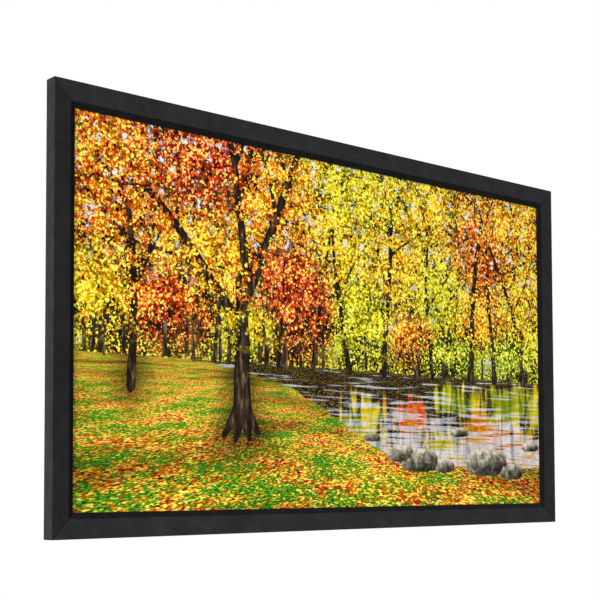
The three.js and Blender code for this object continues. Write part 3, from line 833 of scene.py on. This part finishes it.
def projection_sheet(face, back):
    """The sheet: a flat panel whose edges go round the rods between the clips, and back to a weld."""
    half_x, half_z = HALF_WIDTH - PANEL_EDGE, HALF_HEIGHT - PANEL_EDGE
    deselect()
    bpy.ops.mesh.primitive_grid_add(
        x_subdivisions=PANEL_GRID[0], y_subdivisions=PANEL_GRID[1], size=1, location=(0, 0, 0),
        rotation=(math.pi / 2, 0, 0),
    )
    sheet = bpy.context.object
    sheet.name = "projection_sheet"
    sheet.scale = (2 * half_x, 2 * half_z, 1)
    sheet.location = (0, FRONT + PANEL_FRONT, 0)
    bpy.ops.object.transform_apply()
    sheet.data.materials.append(face)
    sheet.data.materials.append(back)

    # Cuts where a hem ends or leaves a window, and where the picture ends
    windows = {side: clip_windows(side) for side, _ in SHEET_SIDES}
    hem_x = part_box("tension_rod_top")[1].x - ROD_STANDS_OUT
    hem_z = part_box("tension_rod_left")[1].z - ROD_STANDS_OUT
    bpy.ops.object.mode_set(mode="EDIT")
    for side, end, normal in (("top", hem_x, (1, 0, 0)), ("left", hem_z, (0, 0, 1))):
        for place in [edge for pair in windows[side] for edge in pair] + [-end, end]:
            cut(tuple(place * n for n in normal), normal)
    for sign in (-1, 1):
        cut((sign * PICTURE_X, 0, 0), (1, 0, 0))
        cut((0, 0, sign * PICTURE_Z), (0, 0, 1))

    # Round the rod, on to where the hem leaves it for the weld, and down to the weld's inner end
    weld_start, weld_d = PANEL_EDGE - WELD_LEAD, PANEL_FRONT + 2 * SHEET_THICKNESS
    reach = math.hypot(weld_start - ROD_S, weld_d - ROD_D)
    off_rod = math.acos(HEM_RADIUS / reach)
    last_turn = math.atan2(weld_d - ROD_D, weld_start - ROD_S) + off_rod
    hem = [(PANEL_EDGE, PANEL_FRONT)]
    for turn in np.linspace(1.5 * math.pi, last_turn, HEM_ROUND_STEPS + 1):
        hem.append((ROD_S + HEM_RADIUS * math.cos(turn), ROD_D + HEM_RADIUS * math.sin(turn)))
    hem += [(weld_start, weld_d), (PANEL_EDGE + WELD_WIDTH, weld_d)]
    for side, inwards in SHEET_SIDES:

        def at_hem(x, y, z):
            if side in ("top", "bottom"):
                along, out, edge, end = x, -z * inwards[2], half_z, hem_x
            else:
                along, out, edge, end = z, -x * inwards[0], half_x, hem_z
            free = np.all([(along < low) | (along > high) for low, high in windows[side]], axis=0)
            in_panel = abs(y - FRONT - PANEL_FRONT) < NEAR
            return (abs(out - edge) < NEAR) & (abs(along) < end) & free & in_panel

        pick_edges(sheet, at_hem)
        extrude_along(hem, inwards)
    bpy.ops.object.mode_set(mode="OBJECT")

    # Its front is white vinyl within the picture, and all else black vinyl.
    centres = np.array([face.center for face in sheet.data.polygons])
    outside = (abs(centres[:, 0]) > PICTURE_X) | (abs(centres[:, 2]) > PICTURE_Z)
    behind = centres[:, 1] > FRONT + PANEL_FRONT + MM / 5
    sheet.data.polygons.foreach_set("material_index", (outside | behind).astype(np.int32))
    apply_modifier(
        sheet, "SOLIDIFY", thickness=SHEET_THICKNESS, offset=-1, use_even_offset=True,
        material_offset=1, material_offset_rim=1,
    )
    x, _, z = points_of(sheet).T
    for name, values in picture_fields(x, z, np.random.default_rng(PICTURE_SEED)).items():
        attribute = sheet.data.attributes.new(name, "FLOAT", "POINT")
        attribute.data.foreach_set("value", values.astype(np.float32))
    bpy.ops.object.shade_smooth_by_angle(angle=math.radians(30))

    # What a hem adds to the flat sheet: out to the rod, round it, straight back, and the weld
    round_length = HEM_RADIUS * (1.5 * math.pi - last_turn)
    flap = PANEL_EDGE - ROD_S + round_length + reach * math.sin(off_rod) + WELD_WIDTH + WELD_LEAD
    area = 4 * half_x * half_z
    for side, end in (("top", hem_x), ("left", hem_z)):
        area += 2 * flap * (2 * end - sum(high - low for low, high in windows[side]))
    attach(sheet, "root")
    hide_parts("screen_sheet")


def dress(material, *prefixes):
    """Gives the CAD nodes whose names start with one of the prefixes a finish."""
    for name, node in nodes.items():
        if name.startswith(prefixes):
            node.data.materials.clear()
            node.data.materials.append(material)


# Scene


def camera():
    camera_data = bpy.data.cameras.new("camera")
    thing = bpy.data.objects.new("camera", camera_data)
    bpy.context.collection.objects.link(thing)
    camera_data.sensor_width = SENSOR_WIDTH
    camera_data.lens = FOCAL_PIXELS / PHOTO_SIZE * SENSOR_WIDTH
    camera_data.shift_y = (PRINCIPAL_ROW - PHOTO_SIZE / 2) / PHOTO_SIZE
    camera_data.clip_end = 100
    thing.location = CAMERA_PLACE
    aim = Euler((math.radians(90 + CAMERA_PITCH), 0, math.radians(-CAMERA_YAW))).to_matrix()
    roll = Euler((0, 0, math.radians(CAMERA_ROLL))).to_matrix()
    thing.rotation_euler = (aim @ roll).to_euler()
    bpy.context.scene.camera = thing


def seen_rays(tree):
    """1 where a ray comes from the camera, a reflection or a refraction, and 0 where it is only light."""
    rays = add(tree, "LightPath").outputs
    seen = add(tree, "Math", rays["Is Camera Ray"], rays["Is Glossy Ray"], operation="MAXIMUM")
    return add(tree, "Math", seen, rays["Is Transmission Ray"], operation="MAXIMUM")


def lights():
    world = bpy.data.worlds.new("studio")
    bpy.context.scene.world = world
    world.use_nodes = True
    tree = world.node_tree
    tree.nodes.clear()
    soft = add(tree, "Background", linear("FFFFFF"), WORLD_STRENGTH)
    white = add(tree, "Background", linear("FFFFFF"), 1.0)
    add(tree, "OutputWorld", add(tree, "MixShader", seen_rays(tree), soft, white))
    for name, kind, place, size, strength in LAMPS:
        lamp_data = bpy.data.lights.new(name, kind)
        lamp_data.energy = strength
        setattr(lamp_data, "angle" if kind == "SUN" else "size", size)
        lamp = bpy.data.objects.new(name, lamp_data)
        bpy.context.collection.objects.link(lamp)
        lamp.location = place
        lamp.rotation_euler = (-Vector(place)).to_track_quat("-Z", "Y").to_euler()


def floor():
    """A plain pale floor, a metre under the screen."""
    material, tree, shader = start_material("pale_floor", Roughness=0.9)
    place = object_place(tree)
    grain = add(tree, "TexNoise", place, inputs={"Scale": per(11.1), "Detail": 3})
    tone = add(tree, "ValToRGB", grain, stops=[(0.3, "E6E6E4"), (0.7, "EEEEEC")])
    feed(tree, shader, Base_Color=tone)
    # Far from the screen it turns to the white behind it, for the camera and in reflections.
    level = add(tree, "Mapping", place, inputs={"Scale": (1, 1, 0)})
    far = add(tree, "VectorMath", level, operation="LENGTH").outputs["Value"]
    faded = add(tree, "MapRange", far, *FLOOR_FADE, interpolation_type="SMOOTHSTEP")
    kept = add(tree, "Math", faded, seen_rays(tree), operation="MULTIPLY")
    mixed = add(tree, "MixShader", kept, shader, add(tree, "Emission", linear("FFFFFF"), 1.0))
    tree.links.new(mixed.outputs[0], tree.nodes["Material Output"].inputs["Surface"])
    deselect()
    bpy.ops.mesh.primitive_plane_add(size=FLOOR_SIZE, location=(0, 0, -HALF_HEIGHT - FLOOR_DROP))
    ground = bpy.context.object
    ground.name = "floor"
    ground.data.materials.append(material)


bpy.context.scene.view_settings.view_transform = "Standard"
camera()
lights()
floor()
velvet_wraps()
dress(drawn_aluminium("anodised_aluminium_long", 0), "frame_bar_top", "frame_bar_bottom")
dress(
    drawn_aluminium("anodised_aluminium_upright", 2), "frame_bar_left", "frame_bar_right", "centre_brace"
)
dress(bright_zinc(), "corner_angle")
dress(powder_coat(), "wall_bracket")
dress(moulded_nylon(), "tension_clip", "brace_foot")
dress(glass_fibre("glass_fibre_long", 0), "tension_rod_top", "tension_rod_bottom")
dress(glass_fibre("glass_fibre_upright", 2), "tension_rod_left", "tension_rod_right")
projection_sheet(projection_face(), black_vinyl())
